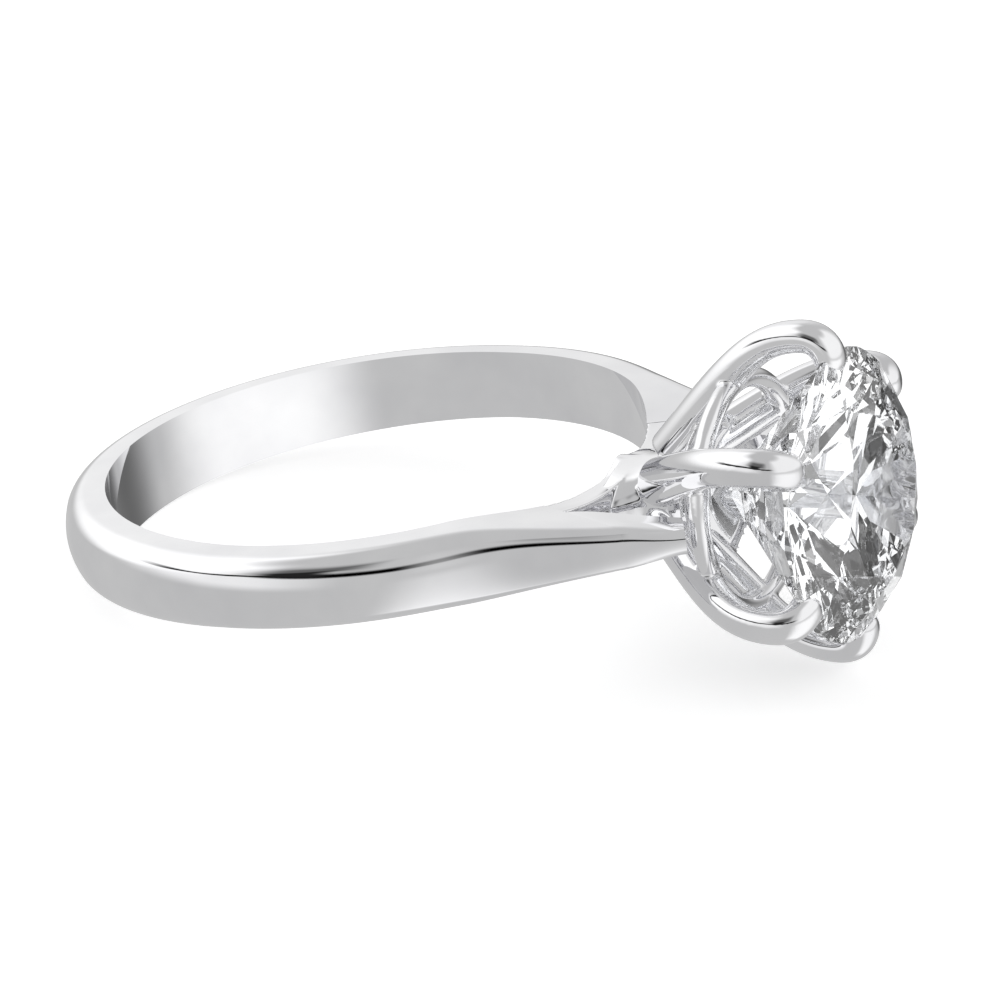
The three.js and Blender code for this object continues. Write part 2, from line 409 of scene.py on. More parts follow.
def show(name: str, mesh: bpy.types.Mesh) -> bpy.types.Object:
    """Adds a mesh to the scene as an object at the origin.

    Args:
        name: Object name.
        mesh: Its mesh.

    Returns:
        The new object.
    """
    obj = bpy.data.objects.new(name, mesh)
    bpy.context.scene.collection.objects.link(obj)
    return obj


# ---------- materials


def srgb(code: str, alpha: float = 1.0) -> tuple:
    """Linearises a hex colour.

    Args:
        code: Six hex digits.
        alpha: Opacity.

    Returns:
        Linear red, green, blue and alpha.
    """
    out = []
    for k in (0, 2, 4):
        c = int(code[k : k + 2], 16) / 255
        out.append(c / 12.92 if c <= 0.04045 else ((c + 0.055) / 1.055) ** 2.4)
    return (*out, alpha)


def add_node(
    tree: bpy.types.NodeTree, kind: str, inputs: dict | None = None, **settings: object
) -> bpy.types.Node:
    """Adds a node, sets it up and links its inputs.

    Args:
        tree: Node tree to add to.
        kind: Node type name.
        inputs: Input name or index to a value or an output socket.
        **settings: Attributes of the node.

    Returns:
        The new node.
    """
    node = tree.nodes.new(kind)
    for key, value in settings.items():
        setattr(node, key, value)
    for key, value in (inputs or {}).items():
        if isinstance(value, bpy.types.NodeSocket):
            tree.links.new(value, node.inputs[key])
        else:
            node.inputs[key].default_value = value
    return node


def set_ramp(node: bpy.types.Node, stops: list[tuple]) -> None:
    """Fills a colour ramp with grey or coloured stops.

    Args:
        node: Colour ramp node.
        stops: Pairs of place and colour, at least two.
    """
    ramp = node.color_ramp
    while len(ramp.elements) < len(stops):
        ramp.elements.new(0.5)
    for element, (place, colour) in zip(ramp.elements, stops):
        element.position = place
        element.color = colour


def tint_in_clouds(
    tree: bpy.types.NodeTree, size_mm: float, stops: list[tuple], detail: float = 2.0
) -> bpy.types.NodeSocket:
    """Varies the base colour in soft clouds fixed to the object.

    Args:
        tree: Node tree of a material with a Principled shader.
        size_mm: Size of a cloud.
        stops: Pairs of place and colour.
        detail: Octaves of the noise.

    Returns:
        Socket with the object's own coordinates.
    """
    place = add_node(tree, "ShaderNodeTexCoord").outputs["Object"]
    inputs = {"Vector": place, "Scale": 1 / (size_mm * MM), "Detail": detail}
    cloud = add_node(tree, "ShaderNodeTexNoise", inputs).outputs["Fac"]
    tint = add_node(tree, "ShaderNodeValToRGB", {"Fac": cloud})
    set_ramp(tint, stops)
    base = tree.nodes["Principled BSDF"].inputs["Base Color"]
    tree.links.new(tint.outputs["Color"], base)
    return place


@dataclass(frozen=True)
class MetalFinish:
    """White gold, cast and then buffed.

    Buffing gives sharp mirror images of what stands round the ring, and its fine
    marks take the last edge off the highlights.
    """

    light: str = "f4f4f5"
    dark: str = "e9e9eb"
    roughness_low: float = 0.02
    roughness_high: float = 0.045
    cloud_size_mm: float = 2.5
    buff_size_mm: float = 0.12
    buff_stretch: float = 6.0
    buff_detail: float = 2.0
    cloud_detail: float = 3.0
    noise_low: float = 0.3
    noise_high: float = 0.7
    bump_height_mm: float = 0.0003
    bump_strength: float = 0.15

    def build(self, name: str) -> bpy.types.Material:
        """Makes the material.

        Args:
            name: Material name.

        Returns:
            The finished material.
        """
        material = bpy.data.materials.new(name)
        material.use_nodes = True
        tree = material.node_tree
        shader = tree.nodes["Principled BSDF"]
        shader.inputs["Metallic"].default_value = 1.0
        stops = [(self.noise_low, srgb(self.dark)), (self.noise_high, srgb(self.light))]
        place = tint_in_clouds(tree, self.cloud_size_mm, stops, self.cloud_detail)
        stretch = add_node(
            tree,
            "ShaderNodeMapping",
            {"Vector": place, "Scale": (1.0, 1.0, self.buff_stretch)},
        ).outputs["Vector"]
        buff = add_node(
            tree,
            "ShaderNodeTexNoise",
            {
                "Vector": stretch,
                "Scale": 1 / (self.buff_size_mm * MM),
                "Detail": self.buff_detail,
            },
        ).outputs["Fac"]
        rough = add_node(
            tree,
            "ShaderNodeMapRange",
            {
                "Value": buff,
                "From Min": self.noise_low,
                "From Max": self.noise_high,
                "To Min": self.roughness_low,
                "To Max": self.roughness_high,
            },
        ).outputs["Result"]
        tree.links.new(rough, shader.inputs["Roughness"])
        bump = add_node(
            tree,
            "ShaderNodeBump",
            {
                "Height": buff,
                "Distance": self.bump_height_mm * MM,
                "Strength": self.bump_strength,
            },
        ).outputs["Normal"]
        tree.links.new(bump, shader.inputs["Normal"])
        return material


@dataclass(frozen=True)
class StoneFinish:
    """Diamond, cut in facets and lapped.

    Its high refraction breaks what stands round it into small hard-edged patches
    of light and dark, and the lapped facets mirror without blur.
    """

    light: str = "ffffff"
    cool: str = "fafcff"
    refraction: float = 2.42
    cloud_size_mm: float = 1.4
    noise_low: float = 0.35
    noise_high: float = 0.65

    def build(self, name: str) -> bpy.types.Material:
        """Makes the material.

        Args:
            name: Material name.

        Returns:
            The finished material.
        """
        material = bpy.data.materials.new(name)
        material.use_nodes = True
        tree = material.node_tree
        shader = tree.nodes["Principled BSDF"]
        shader.inputs["Transmission Weight"].default_value = 1.0
        shader.inputs["IOR"].default_value = self.refraction
        shader.inputs["Roughness"].default_value = 0.0
        stops = [(self.noise_low, srgb(self.light)), (self.noise_high, srgb(self.cool))]
        tint_in_clouds(tree, self.cloud_size_mm, stops)
        return material


@dataclass(frozen=True)
class FloorFinish:
    """Matt white coated card.

    The coating scatters light evenly, so that it reads as plain pale ground. It
    glows a little, which lifts it toward white.
    """

    light: str = "ffffff"
    shade: str = "fbfbfb"
    glow: float = 0.42
    roughness: float = 0.9
    specular: float = 0.1
    cloud_size_mm: float = 60.0
    noise_low: float = 0.3
    noise_high: float = 0.7

    def build(self, name: str) -> bpy.types.Material:
        """Makes the material.

        Args:
            name: Material name.

        Returns:
            The finished material.
        """
        material = bpy.data.materials.new(name)
        material.use_nodes = True
        tree = material.node_tree
        shader = tree.nodes["Principled BSDF"]
        shader.inputs["Roughness"].default_value = self.roughness
        shader.inputs["Specular IOR Level"].default_value = self.specular
        shader.inputs["Emission Color"].default_value = srgb(self.light)
        shader.inputs["Emission Strength"].default_value = self.glow
        stops = [(self.noise_low, srgb(self.shade)), (self.noise_high, srgb(self.light))]
        tint_in_clouds(tree, self.cloud_size_mm, stops)
        return material


@dataclass(frozen=True)
class CardFinish:
    """Lit white, grey and black paper cards, set edge to edge around the stone.

    They give the facets of the stone their light and dark.
    """

    card_size_mm: float = 330.0
    white: float = 1.45
    grey: float = 0.45
    black: float = 0.0
    grey_share: float = 0.22
    black_share: float = 0.32

    def build(self, name: str) -> bpy.types.Material:
        """Makes the material.

        Each cell of a Voronoi pattern takes one of three brightnesses.

        Args:
            name: Material name.

        Returns:
            The finished material.
        """
        material = bpy.data.materials.new(name)
        material.use_nodes = True
        material.cycles.emission_sampling = "NONE"
        tree = material.node_tree
        place = add_node(tree, "ShaderNodeTexCoord").outputs["Object"]
        cells = add_node(
            tree,
            "ShaderNodeTexVoronoi",
            {"Vector": place, "Scale": 1 / (self.card_size_mm * MM)},
        ).outputs["Color"]
        share = add_node(tree, "ShaderNodeSeparateXYZ", {0: cells}).outputs["X"]
        ramp = add_node(tree, "ShaderNodeValToRGB", {"Fac": share})
        ramp.color_ramp.interpolation = "CONSTANT"
        levels = (
            (0.0, self.black),
            (self.black_share, self.grey),
            (self.black_share + self.grey_share, self.white),
        )
        set_ramp(ramp, [(start, (v, v, v, 1.0)) for start, v in levels])
        lit = add_node(tree, "ShaderNodeEmission", {"Color": ramp.outputs["Color"]})
        tree.links.new(lit.outputs[0], tree.nodes["Material Output"].inputs["Surface"])
        return material


class Finish(Enum):
    """The finishes in the scene."""

    METAL = "white_gold_cast_buffed"
    STONE = "diamond_cut_lapped"
    FLOOR = "white_card_coated_matt"
    CARDS = "paper_cards_lit"


FINISHES = {
    Finish.METAL: MetalFinish(),
    Finish.STONE: StoneFinish(),
    Finish.FLOOR: FloorFinish(),
    Finish.CARDS: CardFinish(),
}


def dress(obj: bpy.types.Object, finish: Finish) -> None:
    """Gives an object one finish.

    Args:
        obj: The object.
        finish: Its finish.
    """
    material = bpy.data.materials.get(finish.value)
    if material is None:
        material = FINISHES[finish].build(finish.value)
    obj.data.materials.clear()
    obj.data.materials.append(material)


# ---------- prongs


@dataclass(frozen=True)
class ProngCurve:
    """The centre line that every prong follows in its own plane."""

    head: HeadSize
    stone: StoneSize
    band: BandSize

    def line(self, steps: int = 90) -> np.ndarray:
        """Samples the line from the stem to the claw.

        The line is a cubic sweep from inside the stem to the bulge beside the
        girdle, followed by a cubic claw that turns in over the crown.

        Args:
            steps: Number of points.

        Returns:
            Rows of height and radius.
        """
        head, stone = self.head, self.stone
        top = self.band.rail_outer_radius + head.stem_height
        root = np.array([top - head.root_sink, head.stem_top_radius - head.root_inset])
        bulge = np.array([stone.girdle_height - head.bulge_drop, stone.radius + head.standoff])
        tip = np.array(
            [stone.girdle_height + head.claw_rise, stone.radius - head.claw_overlap]
        )
        span = bulge[0] - root[0]
        drop = tip - bulge
        leave = root + span * np.array(head.root_pull)
        arrive = (bulge[0] - span * head.bulge_pull, bulge[1])
        claw = [bulge, bulge + drop * head.claw_leave, bulge + drop * head.claw_arrive, tip]
        first_steps = int(steps * head.sweep_share)
        last_steps = int(steps * (1 - head.sweep_share))
        first = bezier([root, leave, arrive, bulge], np.linspace(0, 1, first_steps))
        last = bezier(claw, np.linspace(0, 1, last_steps + 1))
        return np.vstack([first, last[1:]])

    def radius_at(self, height: float) -> float:
        """Finds the line's radius at a height.

        Args:
            height: Height above the finger hole's centre.

        Returns:
            The radius there.
        """
        line = self.line()
        return float(np.interp(height, line[:, 0], line[:, 1]))

    def tube(self, angle: float, sides: int = 32) -> np.ndarray:
        """Sweeps a rounded section along the line, with a round claw tip.

        The section grows toward the root on its inner side alone, so that the
        prong's outer face stays on one smooth curve.

        Args:
            angle: Prong's turn round the head's axis, in radians.
            sides: Points round the section.

        Returns:
            Loops by points by 3.
        """
        head = self.head
        line = self.line()
        along = np.gradient(line, axis=0)
        along /= np.linalg.norm(along, axis=1, keepdims=True)
        share = np.arange(len(line)) / (len(line) * head.root_taper)
        size = head.root_share + (1 - head.root_share) * smooth_step(share)
        turns = np.radians(np.linspace(6, 84, 12))
        caps = line[-1] + along[-1] * np.sin(turns)[:, None] * head.half_depth
        line = np.vstack([line, caps])
        along = np.vstack([along, np.repeat(along[-1:], len(turns), axis=0)])
        size = np.concatenate([size, np.cos(turns)])
        out = np.array([0.0, -math.sin(angle), math.cos(angle)])
        side = np.array([0.0, math.cos(angle), math.sin(angle)])
        up = np.array([1.0, 0.0, 0.0])
        across = along[:, :1] * out - along[:, 1:] * up
        inset = (np.maximum(size, 1.0) - 1.0)[:, None] * head.half_depth
        centre = line[:, :1] * up + line[:, 1:] * out - inset * across
        turn = np.linspace(0, 2 * math.pi, sides, endpoint=False)
        depth = (head.half_depth * size)[:, None, None] * np.cos(turn)[None, :, None]
        width = (head.half_width * size)[:, None, None] * np.sin(turn)[None, :, None]
        return centre[:, None] + depth * across[:, None] + width * side


# ---------- band


class BandPlan:
    """Plan outlines and widths of the band, its shoulders and the rail."""

    def __init__(self, band: BandSize, head: HeadSize, stone: StoneSize) -> None:
        """Works out where the shoulders leave the band and where they end.

        Args:
            band: Band sizes.
            head: Head sizes.
            stone: Stone sizes.
        """
        self.band = band
        self.head = head
        curve = ProngCurve(head, stone, band)
        self.gallery_height = stone.girdle_height - head.gallery_drop
        self.gallery_radius = curve.radius_at(self.gallery_height) - head.half_depth
        self.tip = np.array(
            [
                self.gallery_height - head.gallery_wire * head.shoulder_tip_share,
                self.gallery_radius + head.gallery_wire + head.shoulder_tip_reach,
            ]
        )
        reach = float(np.linalg.norm(self.tip))
        self.tip_angle = math.degrees(math.atan2(self.tip[1], self.tip[0]))
        self.tangent = self.tip_angle + math.degrees(math.acos(band.outer_radius / reach))

    def outer_radius(self, degrees: np.ndarray) -> np.ndarray:
        """Gives the outer face's radius.

        Past the tangent point it follows the tangent to the shoulder's tip, less a
        hollow that grows and fades as the square of a sine.

        Args:
            degrees: Angle from the head, without sign.

        Returns:
            Radius at each angle.
        """
        past = np.maximum(self.tangent - degrees, 0.0)
        share = np.minimum(past / (self.tangent - self.tip_angle), 1.0)
        dip = self.head.shoulder_dip * np.sin(math.pi * share) ** 2
        return self.band.outer_radius / np.cos(np.radians(past)) - dip

    def inner_half(self, degrees: np.ndarray) -> np.ndarray:
        """Gives half the width of the finger face.

        Args:
            degrees: Angle from the head, without sign.

        Returns:
            Half width at each angle.
        """
        band = self.band
        back = np.maximum(0.0, -np.cos(np.radians(degrees)))
        body = band.half_width_side + (band.half_width_back - band.half_width_side) * back
        opening = (degrees - band.pinch_end) / (band.pinch_start - band.pinch_end)
        return band.rail_half_width + (body - band.rail_half_width) * smooth_step(opening)

    def outer_half(self, degrees: np.ndarray) -> np.ndarray:
        """Gives half the width between the two edges of the outer face.

        Args:
            degrees: Angle from the head, without sign.

        Returns:
            Half width at each angle.
        """
        band = self.band
        near = smooth_step((band.crown_change_end - degrees) / band.crown_change_span)
        share = band.crown_share + (band.crown_share_at_head - band.crown_share) * near
        return self.inner_half(degrees) * share


BEVEL_START_LEAST = 0.3
BEVEL_WAVE = math.pi * 0.36
SIDE_DRAFT = 0.015


def band_sections(
    inner: np.ndarray,
    outer: np.ndarray,
    inner_half: np.ndarray,
    outer_half: np.ndarray,
    rise: float,
    bevel_length: float,
) -> np.ndarray:
    """Makes the band's cross-section between inner and outer plan points.

    Each section is a flat finger face, flat sides with a slight draft, bevels that
    fall as part of a sine wave to two edges, and a parabolic dome between them.

    Args:
        inner: Plan points of the finger face.
        outer: Plan points of the outer face.
        inner_half: Half width of the finger face at each point.
        outer_half: Half width between the edges at each point.
        rise: Height of the dome over the edges.
        bevel_length: Depth over which the sides fall to the edges.

    Returns:
        Loops by points by 3.
    """
    depth = np.linalg.norm(outer - inner, axis=1)[:, None]
    direction = (outer - inner) / depth
    wide, narrow = inner_half[:, None], outer_half[:, None]
    edge = depth - rise
    start = np.maximum(edge - bevel_length, depth * BEVEL_START_LEAST)
    finger = np.linspace(0, 1, 6)[None, :]
    side = np.linspace(0, 1, 6)[None, :]
    bevel = np.linspace(0, 1, 18)[None, 1:]
    dome = np.linspace(1, 0, 16)[None, 1:]
    along = np.concatenate(
        [
            0 * depth * finger,
            start * side[:, 1:],
            start + (edge - start) * np.sin(bevel * BEVEL_WAVE) / math.sin(BEVEL_WAVE),
            edge + rise * (1 - dome**2),
        ],
        axis=1,
    )
    drawn = wide * (1 - SIDE_DRAFT)
    level = np.concatenate(
        [
            wide * finger,
            wide * (1 - SIDE_DRAFT * side[:, 1:]),
            drawn + (narrow - drawn) * (1 - np.cos(bevel * math.pi / 2)),
            narrow * dome,
        ],
        axis=1,
    )
    along = np.concatenate([along, along[:, -2:0:-1]], axis=1)
    level = np.concatenate([level, -level[:, -2:0:-1]], axis=1)
    plan = inner[:, None] + direction[:, None] * along[:, :, None]
    return np.concatenate([plan, level[:, :, None]], axis=2)


@dataclass
class Band:
    """The polished band with its two cathedral shoulders."""

    plan: BandPlan
    placement: Placement
    stations: int = 420
    shoulder_stations: int = 60
    sharp_degrees: float = 24.0

    def build(self) -> list[bpy.types.Object]:
        """Makes the band and both shoulders.

        Returns:
            The new objects.
        """
        sides = (("shoulder_left", 1.0), ("shoulder_right", -1.0))
        return [self._band(), *(self._shoulder(name, side) for name, side in sides)]

    def _finish(self, name: str, loops: np.ndarray, node: str) -> bpy.types.Object:
        """Lays loops down as a dressed piece that stands for a node.

        Args:
            name: Piece name.
            loops: Loops by points by 3.
            node: CAD node that the piece replaces.

        Returns:
            The new object.
        """
        skin = Skin()
        skin.tube(self.placement.lay(loops.reshape(-1, 3)).reshape(loops.shape))
        obj = show(name, skin.mesh(name))
        shade(obj.data, self.sharp_degrees)
        dress(obj, Finish.METAL)
        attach(obj, "root")
        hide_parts(node)
        return obj

    def _band(self) -> bpy.types.Object:
        """Sweeps the band's section round the finger hole.

        Returns:
            The band.
        """
        plan, band = self.plan, self.plan.band
        degrees = np.linspace(band.shank_end, 360 - band.shank_end, self.stations)
        folded = np.minimum(degrees, 360 - degrees)
        loops = band_sections(
            polar(np.full_like(degrees, band.finger_radius), degrees),
            polar(plan.outer_radius(folded), degrees),
            plan.inner_half(folded),
            plan.outer_half(folded),
            band.dome_rise,
            band.bevel_length,
        )
        return self._finish("band", loops, "shank")

    def _shoulder(self, node: str, side: float) -> bpy.types.Object:
        """Runs one shoulder straight on from the band to the gallery ring.

        Args:
            node: CAD node that the piece replaces.
            side: 1 for the +Y side, -1 for the other.

        Returns:
            The shoulder.
        """
        plan, band, head = self.plan, self.plan.band, self.plan.head
        angle = np.array([band.shank_end])
        start_inner = polar(np.array([band.rail_outer_radius + head.shoulder_gap]), angle)[0]
        start_outer = polar(plan.outer_radius(angle), angle)[0]
        run = (plan.tip - start_outer) / np.linalg.norm(plan.tip - start_outer)
        end_inner = plan.tip + np.array([run[1], -run[0]]) * head.shoulder_end_depth
        bend = (
            start_inner[0] + (end_inner[0] - start_inner[0]) * head.shoulder_bend_share,
            end_inner[1] + head.shoulder_bend_rise,
        )
        share = np.linspace(0, 1, self.shoulder_stations)
        inner = bezier([start_inner, bend, end_inner], share)
        degrees = band.shank_end + (plan.tip_angle - band.shank_end) * share
        outer = polar(plan.outer_radius(degrees), degrees)
        ease = smooth_step(share)
        start_wide, start_narrow = plan.inner_half(angle), plan.outer_half(angle)
        end_wide = head.shoulder_end_half_width
        loops = band_sections(
            inner,
            outer,
            start_wide + (end_wide - start_wide) * ease,
            start_narrow + (end_wide * head.shoulder_end_crown - start_narrow) * ease,
            band.dome_rise,
            band.bevel_length,
        )
        loops[:, :, 1] *= side
        return self._finish(f"{node}_skin", loops, node)


# ---------- head


@dataclass
class Head:
    """Rail, stem, prongs and gallery ring, cast as one smooth piece."""

    plan: BandPlan
    stone: StoneSize
    placement: Placement
    voxel: float = 0.045
    smoothing: int = 8
    smoothing_share: float = 0.5
    seat_clearance: float = 0.012
    sharp_degrees: float = 60.0

    def build(self, stone_piece: bpy.types.Object) -> bpy.types.Object:
        """Makes the head and seats it round the stone.

        Args:
            stone_piece: The stone, already in its place.

        Returns:
            The head.
        """
        skin = Skin()
        self._rail(skin)
        self._stem(skin)
        self._gallery(skin)
        curve = ProngCurve(self.plan.head, self.stone, self.plan.band)
        for k in range(self.plan.head.prongs):
            skin.tube(curve.tube(2 * math.pi * k / self.plan.head.prongs))
        mesh = self._fuse(skin.mesh("head_parts"))
        set_coordinates(mesh, self.placement.lay(coordinates(mesh)))
        self._seat(mesh, stone_piece.data)
        obj = show("head", mesh)
        shade(mesh, self.sharp_degrees)
        dress(obj, Finish.METAL)
        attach(obj, "root")
        prongs = [f"prong_{k + 1}" for k in range(self.plan.head.prongs)]
        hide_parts("finger_rail", "head_stem", "gallery_ring", *prongs)
        return obj

    def _rail(self, skin: Skin) -> None:
        """Adds the rail under the head, flared where the outer prongs land.

        Args:
            skin: Where the tube goes.
        """
        band = self.plan.band
        end = band.shank_end + band.rail_overlap
        degrees = np.linspace(-end, end, 160)
        flare = np.exp(-((degrees / band.rail_flare_angle) ** 2))
        half = self.plan.inner_half(np.abs(degrees))
        loops = band_sections(
            polar(np.full_like(degrees, band.finger_radius), degrees),
            polar(np.full_like(degrees, band.rail_outer_radius), degrees),
            half + band.rail_flare * flare,
            half + band.rail_crown_flare * np.exp(-((degrees / band.rail_crown_angle) ** 2)),
            band.dome_rise * band.rail_dome_share,
            band.bevel_length,
        )
        skin.tube(loops)

    def _stem(self, skin: Skin) -> None:
        """Adds the stem, a saddle on the rail that opens into a trumpet.

        Its level sections are ellipses, long along the rail at the foot and round
        at the mouth. Their half axes follow a smooth curve through the profile's
        heights, and the mouth is a shallow dish.

        Args:
            skin: Where the tube goes.
        """
        head = self.plan.head
        profile = np.array(head.stem_profile)
        place = np.linspace(0, len(profile) - 1, 60)
        height, across, along = smooth_curve(profile, place).T
        dish = np.linspace(1, head.dish_hub, 16)[1:]
        floor = height[-1] - head.stem_dish * (1 - dish**2)
        height = np.concatenate([height, floor])
        across = np.concatenate([across, (across[-1] - head.stem_rim) * dish])
        along = np.concatenate([along, (along[-1] - head.stem_rim) * dish])
        turn = np.linspace(0, 2 * math.pi, 96, endpoint=False)
        loops = np.stack(
            [
                np.repeat(height[:, None], len(turn), axis=1),
                along[:, None] * np.cos(turn),
                across[:, None] * np.sin(turn),
            ],
            axis=2,
        )
        skin.tube(loops)

    def _gallery(self, skin: Skin) -> None:
        """Adds the gallery ring, a round wire bent to a circle.

        Args:
            skin: Where the ring goes.
        """
        plan = self.plan
        wire = np.linspace(0, 2 * math.pi, 28, endpoint=False)
        turn = np.linspace(0, 2 * math.pi, 180, endpoint=False)[:, None]
        radius = plan.gallery_radius + plan.head.gallery_wire * np.sin(wire)
        height = plan.gallery_height + plan.head.gallery_wire * np.cos(wire)
        loops = np.stack(
            [
                np.repeat(height[None, :], len(turn), axis=0),
                radius * np.cos(turn),
                radius * np.sin(turn),
            ],
            axis=2,
        )
        skin.ring(loops)

    def _fuse(self, mesh: bpy.types.Mesh) -> bpy.types.Mesh:
        """Fuses overlapping tubes into one skin and softens where they meet.

        Args:
            mesh: Closed tubes that cross each other, in millimetres.

        Returns:
            One closed mesh.
        """
        obj = show("head_work", mesh)
        remesh = obj.modifiers.new("fuse", "REMESH")
        remesh.mode = "VOXEL"
        remesh.voxel_size = self.voxel
        soften = obj.modifiers.new("soften", "SMOOTH")
        soften.factor = self.smoothing_share
        soften.iterations = self.smoothing
        graph = bpy.context.evaluated_depsgraph_get()
        fused = bpy.data.meshes.new_from_object(obj.evaluated_get(graph))
        fused.name = "head"
        bpy.data.objects.remove(obj)
        LOG.info("head has %d faces", len(fused.polygons))
        return fused

    def _seat(self, mesh: bpy.types.Mesh, stone: bpy.types.Mesh) -> None:
        """Pushes metal that would lie inside the stone out to its nearest facet.

        Args:
            mesh: The head, in metres.
            stone: The stone's facets, which bound a convex solid.
        """
        clearance = self.seat_clearance * MM
        normals = np.array([tuple(face.normal) for face in stone.polygons])
        centres = np.array([tuple(face.center) for face in stone.polygons])
        points = coordinates(mesh)
        reach = points @ normals.T - (normals * centres).sum(axis=1)
        nearest = reach.argmax(axis=1)
        depth = reach[np.arange(len(points)), nearest]
        inside = depth < clearance
        points[inside] += (clearance - depth[inside])[:, None] * normals[nearest[inside]]
        set_coordinates(mesh, points)


# ---------- stone


@dataclass
class Stone:
    """The round brilliant, with its facets taken from the frame's solid."""

    node: str = "centre_stone"
    flat_degrees: float = 0.6
    weld_mm: float = 0.0005

    def build(self) -> bpy.types.Object:
        """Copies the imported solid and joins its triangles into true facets.

        Returns:
            The stone.
        """
        source = frame["nodes"][self.node]
        work = bmesh.new()
        work.from_mesh(source.data)
        work.transform(source.matrix_world)
        bmesh.ops.remove_doubles(work, verts=work.verts, dist=self.weld_mm * MM)
        bmesh.ops.dissolve_limit(
            work,
            angle_limit=math.radians(self.flat_degrees),
            verts=work.verts,
            edges=work.edges,
        )
        bmesh.ops.recalc_face_normals(work, faces=work.faces)
        mesh = bpy.data.meshes.new("stone")
        work.to_mesh(mesh)
        work.free()
        mesh.shade_flat()
        LOG.info("stone has %d facets", len(mesh.polygons))
        obj = show("stone", mesh)
        dress(obj, Finish.STONE)
        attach(obj, "root")
        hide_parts(self.node)
        return obj


# ---------- studio


@dataclass(frozen=True)
class Panel:
    """One soft-edged part of the tent, placed as seen from the ring.

    Turns are measured from the camera, to the right of the ring as it is shot.
    """

    level: float
    turn: float
    turn_half: float
    turn_soft: float
    low: float
    high: float
    low_soft: float
    high_soft: float

    def cover(
        self,
        tree: bpy.types.NodeTree,
        under: bpy.types.NodeSocket,
        direction: bpy.types.NodeSocket,
        height: bpy.types.NodeSocket,
    ) -> bpy.types.NodeSocket:
        """Lays the panel over what is under it.

        Its share is a smooth step of the cosine of the turn from its middle, times
        smooth steps of the height at its lower and upper edges.

        Args:
            tree: The world's node tree.
            under: Socket with the brightness so far.
            direction: Socket with the level direction, as a unit vector.
            height: Socket with the sine of the elevation.

        Returns:
            Socket with the new brightness.
        """
        middle = math.radians(self.turn)
        toward = (math.cos(middle), math.sin(middle), 0.0)
        facing = add_node(
            tree, "ShaderNodeVectorMath", {0: direction, 1: toward}, operation="DOT_PRODUCT"
        ).outputs["Value"]
        outer = min(self.turn_half + self.turn_soft, 180.0)
        inner = max(self.turn_half - self.turn_soft, 0.0)
        limits = (math.cos(math.radians(edge)) for edge in (outer, inner))
        share = self._step(tree, facing, *limits)
        for edge, soft, sign in ((self.low, self.low_soft, 1), (self.high, self.high_soft, -1)):
            start, end = (math.sin(math.radians(edge + way * soft)) for way in (-sign, sign))
            step = self._step(tree, height, start, end)
            share = add_node(tree, "ShaderNodeMath", {0: share, 1: step}, operation="MULTIPLY")
            share = share.outputs[0]
        mixed = add_node(tree, "ShaderNodeMix", {0: share, 2: under, 3: self.level})
        return mixed.outputs[0]

    @staticmethod
    def _step(
        tree: bpy.types.NodeTree, value: bpy.types.NodeSocket, start: float, end: float
    ) -> bpy.types.NodeSocket:
        """Eases from 0 to 1 between two values.

        Args:
            tree: The world's node tree.
            value: Socket to read.
            start: Value that gives 0.
            end: Value that gives 1.

        Returns:
            Socket with the share.
        """
        ends = {"Value": value, "From Min": start, "From Max": end}
        step = add_node(tree, "ShaderNodeMapRange", ends, interpolation_type="SMOOTHSTEP")
        return step.outputs["Result"]


TENT_BASE = 0.58
TENT = (
    # ground: grey behind and to the left, white in front, falling off under the ring
    Panel(0.33, 180.0, 100.0, 35.0, -90.0, -1.0, 1.0, 5.0),
    Panel(0.14, 150.0, 20.0, 20.0, -25.0, 0.0, 8.0, 6.0),
    Panel(0.9, 0.0, 62.0, 42.0, -90.0, 16.0, 1.0, 2.0),
    Panel(1.1, 55.0, 32.0, 24.0, -80.0, 2.0, 15.0, 10.0),
    Panel(0.6, 0.0, 180.0, 60.0, -90.0, -52.0, 1.0, 24.0),
    # walls: white to the left, grey overhead, dark gap round the camera
    Panel(0.95, -110.0, 78.0, 22.0, 0.0, 45.0, 7.0, 18.0),
    Panel(1.25, -114.0, 40.0, 14.0, 8.0, 57.0, 8.0, 8.0),
    Panel(0.14, -35.0, 22.0, 12.0, 27.0, 52.0, 4.0, 8.0),
    Panel(0.0, -42.0, 55.0, 12.0, 17.5, 24.0, 1.5, 2.0),
    Panel(0.02, -38.0, 12.0, 6.0, 19.0, 34.0, 3.0, 4.0),
    # the stone's side
    Panel(1.0, 75.0, 58.0, 16.0, 8.0, 66.0, 5.0, 10.0),
)


